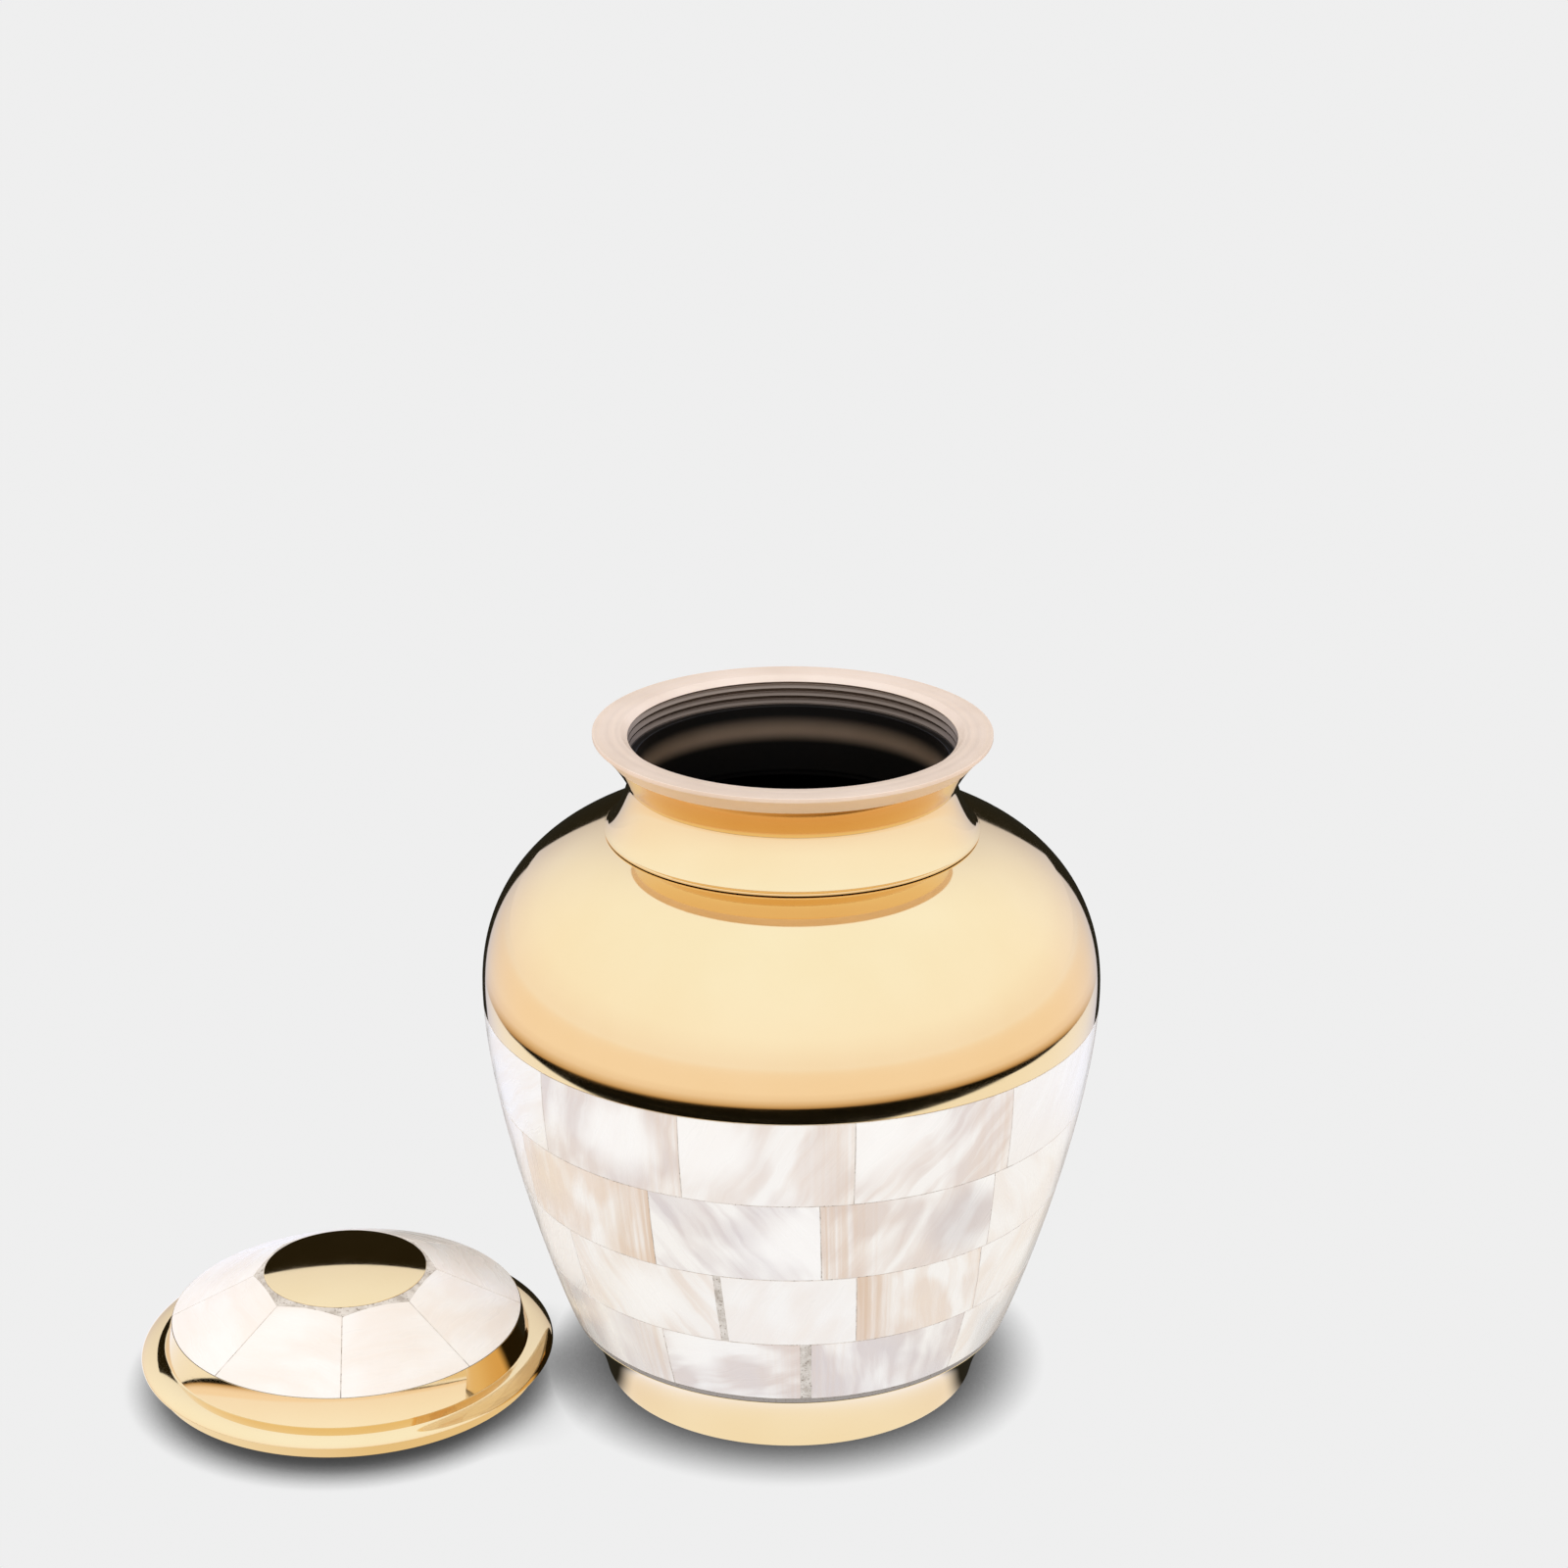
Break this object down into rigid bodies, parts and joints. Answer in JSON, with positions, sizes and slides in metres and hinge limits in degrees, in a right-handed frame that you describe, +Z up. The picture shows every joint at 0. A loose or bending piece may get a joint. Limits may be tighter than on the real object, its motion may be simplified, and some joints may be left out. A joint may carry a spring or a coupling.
{
  "type": "cremation urn",
  "caption": "Open round-bellied cremation urn of polished brass with a mother-of-pearl mosaic and a threaded neck, its screw-on lid lying beside it.",
  "frame": {"origin": "middle of the underside of the urn's foot, on the surface that the urn and its lid stand on", "axes": "+Z up along the urn's axis of rotation, -Y towards the front, +X to the right; the lid lies at -X"},
  "size_m": [0.2897, 0.184, 0.2051],
  "materials": {
    "polished_brass": "mirror polished and lacquered brass",
    "satin_brass": "turned and satin finished brass on the rim and thread",
    "pearl": "polished mother-of-pearl with soft growth bands and a milky sheen",
    "grout": "matt light grey grout, slightly speckled"
  },
  "bodies": {
    "root": {"urn_body": "polished_brass", "neck_collar": "satin_brass", "body_grout": "grout", "tile_c1_01": "pearl", "tile_c1_02": "pearl", "tile_c1_03": "pearl", "tile_c1_04": "pearl", "tile_c1_05": "pearl", "tile_c1_06": "pearl", "tile_c1_07": "pearl", "tile_c1_08": "pearl", "tile_c1_09": "pearl", "tile_c1_10": "pearl", "tile_c1_11": "pearl", "tile_c2_01": "pearl", "tile_c2_02": "pearl", "tile_c2_03": "pearl", "tile_c2_04": "pearl", "tile_c2_05": "pearl", "tile_c2_06": "pearl", "tile_c2_07": "pearl", "tile_c2_08": "pearl", "tile_c2_09": "pearl", "tile_c2_10": "pearl", "tile_c2_11": "pearl", "tile_c3_01": "pearl", "tile_c3_02": "pearl", "tile_c3_03": "pearl", "tile_c3_04": "pearl", "tile_c3_05": "pearl", "tile_c3_06": "pearl", "tile_c3_07": "pearl", "tile_c3_08": "pearl", "tile_c3_09": "pearl", "tile_c3_10": "pearl", "tile_c3_11": "pearl", "tile_c4_01": "pearl", "tile_c4_02": "pearl", "tile_c4_03": "pearl", "tile_c4_04": "pearl", "tile_c4_05": "pearl", "tile_c4_06": "pearl", "tile_c4_07": "pearl", "tile_c4_08": "pearl", "tile_c4_09": "pearl", "tile_c4_10": "pearl", "tile_c4_11": "pearl", "lid_shell": "polished_brass", "lid_grout": "grout", "lid_tile_1": "pearl", "lid_tile_2": "pearl", "lid_tile_3": "pearl", "lid_tile_4": "pearl", "lid_tile_5": "pearl", "lid_tile_6": "pearl", "lid_tile_7": "pearl", "lid_tile_8": "pearl"}
  },
  "joints": []
}
